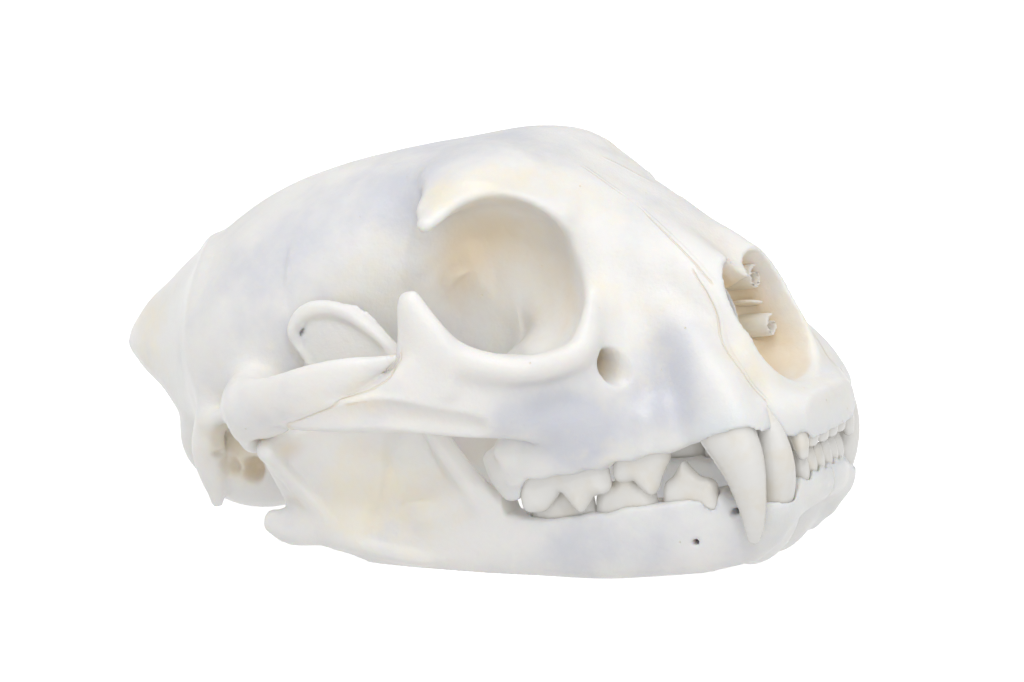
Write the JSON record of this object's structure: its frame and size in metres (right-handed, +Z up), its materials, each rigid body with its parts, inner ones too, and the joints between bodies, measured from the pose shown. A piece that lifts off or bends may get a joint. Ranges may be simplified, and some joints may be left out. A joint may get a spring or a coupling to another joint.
{
  "type": "cat skull",
  "caption": "Dry bleached skull of a bay lynx with its lower jaw closed: domed braincase, wide cheek arches, large forward orbits and long canine teeth.",
  "frame": {"origin": "on the table, under the middle of the skull's overall box", "axes": "+Z up from the table; the plane of symmetry is X = 0, with the animal's right side at -X; -Y towards the nose and +Y towards the back of the head"},
  "size_m": [0.0869, 0.1255, 0.0619],
  "materials": {
    "bone": "satin",
    "enamel": "glossy"
  },
  "bodies": {
    "root": {"cranium": "bone", "jaw_right": "bone", "jaw_left": "bone", "upper_incisor_1_right": "enamel", "upper_incisor_1_left": "enamel", "upper_incisor_2_right": "enamel", "upper_incisor_2_left": "enamel", "upper_incisor_3_right": "enamel", "upper_incisor_3_left": "enamel", "upper_canine_right": "enamel", "upper_canine_left": "enamel", "lower_incisor_1_right": "enamel", "lower_incisor_1_left": "enamel", "lower_incisor_2_right": "enamel", "lower_incisor_2_left": "enamel", "lower_incisor_3_right": "enamel", "lower_incisor_3_left": "enamel", "lower_canine_right": "enamel", "lower_canine_left": "enamel", "upper_premolar_3_right": "enamel", "upper_premolar_3_left": "enamel", "upper_premolar_4_right": "enamel", "upper_premolar_4_left": "enamel", "upper_molar_1_right": "enamel", "upper_molar_1_left": "enamel", "lower_premolar_3_right": "enamel", "lower_premolar_3_left": "enamel", "lower_premolar_4_right": "enamel", "lower_premolar_4_left": "enamel", "lower_molar_1_right": "enamel", "lower_molar_1_left": "enamel"}
  },
  "joints": []
}
